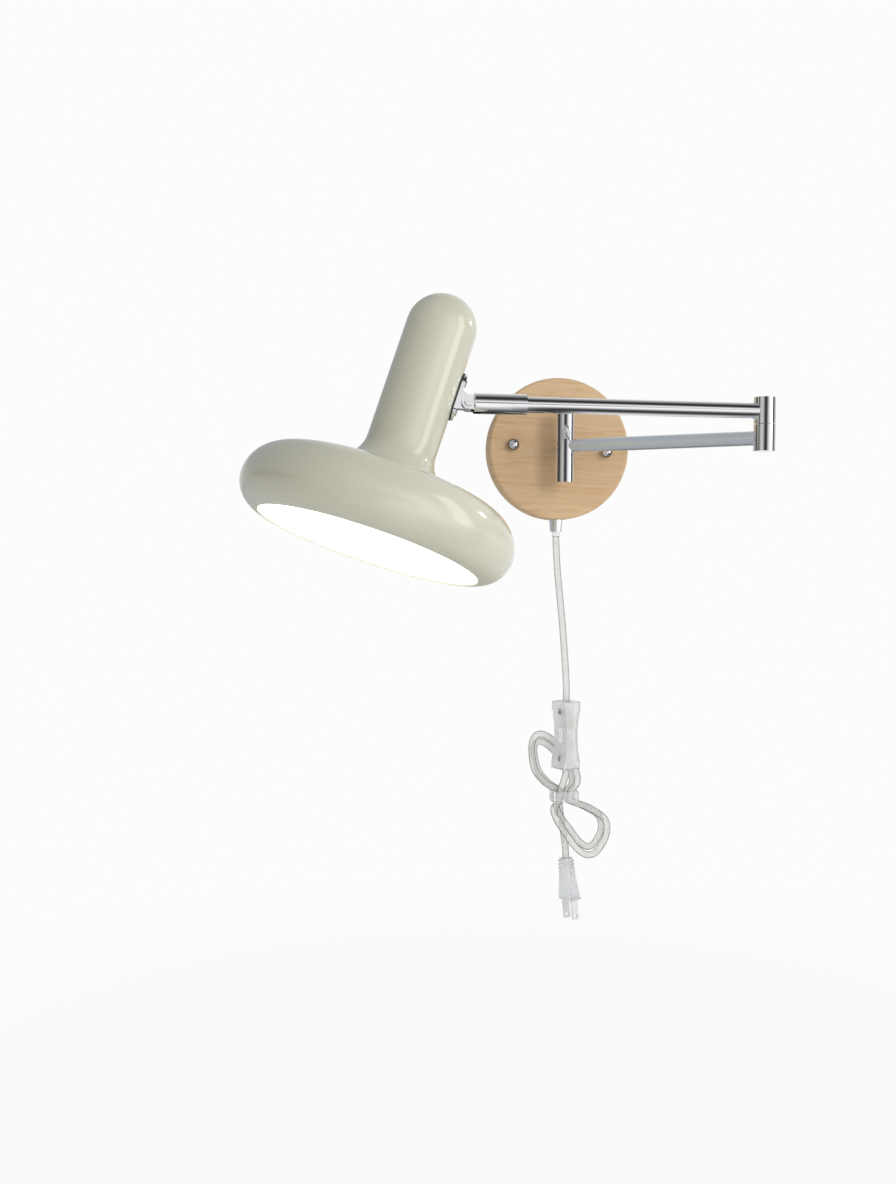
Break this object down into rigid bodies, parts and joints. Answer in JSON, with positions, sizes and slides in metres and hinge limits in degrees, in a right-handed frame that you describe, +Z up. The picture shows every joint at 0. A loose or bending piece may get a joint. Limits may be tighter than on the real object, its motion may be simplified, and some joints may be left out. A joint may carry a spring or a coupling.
{
  "type": "swing arm wall lamp",
  "caption": "Wall lamp with a round wooden plate, two folding chrome arms, a pale enamelled shade that tilts and rolls, and a clear flat cord with a switch and a plug",
  "frame": {"origin": "middle of the wooden plate's back, on the wall", "axes": "+Z up, +Y into the wall, -Y into the room, +X to the right seen from the room"},
  "size_m": [0.4039, 0.2577, 0.506],
  "materials": {
    "wood": "satin",
    "chrome": "polished",
    "steel": "brushed",
    "enamel": "satin",
    "clear_plastic": "gloss",
    "cord_jacket": "gloss",
    "white_plastic": "matte",
    "brass": "plain",
    "black_rubber": "matte",
    "bulb_glass": "frosted"
  },
  "bodies": {
    "wall_unit": {"wall_plate": "wood", "wall_bracket": "steel", "bracket_studs": "steel", "cap_nuts": "chrome", "stem": "chrome", "stem_washer": "steel", "stem_nut": "steel", "hinge_spindle": "steel", "terminal_block": "white_plastic", "terminal_screws": "brass", "supply_leads": "brass", "cord_gland": "chrome", "cord_bush": "clear_plastic", "cord_upper": "cord_jacket", "cord_hank": "cord_jacket", "hank_tie": "clear_plastic", "cord_tail": "cord_jacket", "switch_front": "clear_plastic", "switch_back": "clear_plastic", "switch_screw": "steel", "switch_contacts": "brass", "plug_body": "clear_plastic", "plug_blades": "steel"},
    "rocker": {"switch_rocker": "white_plastic"},
    "lower_arm_unit": {"post_barrel": "chrome", "post_caps": "chrome", "lower_arm": "chrome", "lower_leads": "brass", "elbow_lower": "chrome", "elbow_bottom_cap": "chrome", "elbow_pin": "steel", "elbow_washer": "white_plastic", "elbow_clip": "steel"},
    "upper_arm_unit": {"elbow_upper": "chrome", "elbow_top_cap": "chrome", "upper_arm": "chrome", "upper_leads": "brass", "arm_collar": "chrome"},
    "swivel": {"swivel_sleeve": "chrome", "swivel_screw": "steel", "tilt_screw": "chrome", "tilt_nut": "steel"},
    "head": {"tilt_lug": "chrome", "lug_gasket": "black_rubber", "lug_screws": "steel", "shade_column": "enamel", "shade_top": "enamel", "shade_rim": "enamel", "holder_bracket": "steel", "holder_nut": "steel", "lamp_holder": "white_plastic", "holder_thread": "brass", "holder_contact": "brass", "bulb_globe": "bulb_glass", "bulb_cap": "steel"}
  },
  "joints": [
    {"name": "lower_arm_swing", "type": "hinge", "parent": "wall_unit", "child": "lower_arm_unit", "pos_m": [0, -0.0457, 0], "axis": [0, 0, 1], "range_deg": [-8, 18]},
    {"name": "elbow_swing", "type": "hinge", "parent": "lower_arm_unit", "child": "upper_arm_unit", "pos_m": [0.13634, -0.13594, 0.01025], "axis": [0, 0, 1], "range_deg": [0, 138]},
    {"name": "head_roll", "type": "hinge", "parent": "upper_arm_unit", "child": "swivel", "pos_m": [-0.07557, -0.14223, 0.0205], "axis": [-0.9996, -0.0297, 0], "range_deg": [-20, 35]},
    {"name": "head_tilt", "type": "hinge", "parent": "swivel", "child": "head", "pos_m": [-0.09321, -0.14275, 0.0205], "axis": [-0.0294, 0.9921, -0.1219], "range_deg": [-34, 32]},
    {"name": "rocker_press", "type": "hinge", "parent": "wall_unit", "child": "rocker", "pos_m": [0.0057, -0.02422, -0.243], "axis": [0.4695, -0.8829, 0], "range_deg": [-3, 3]}
  ]
}
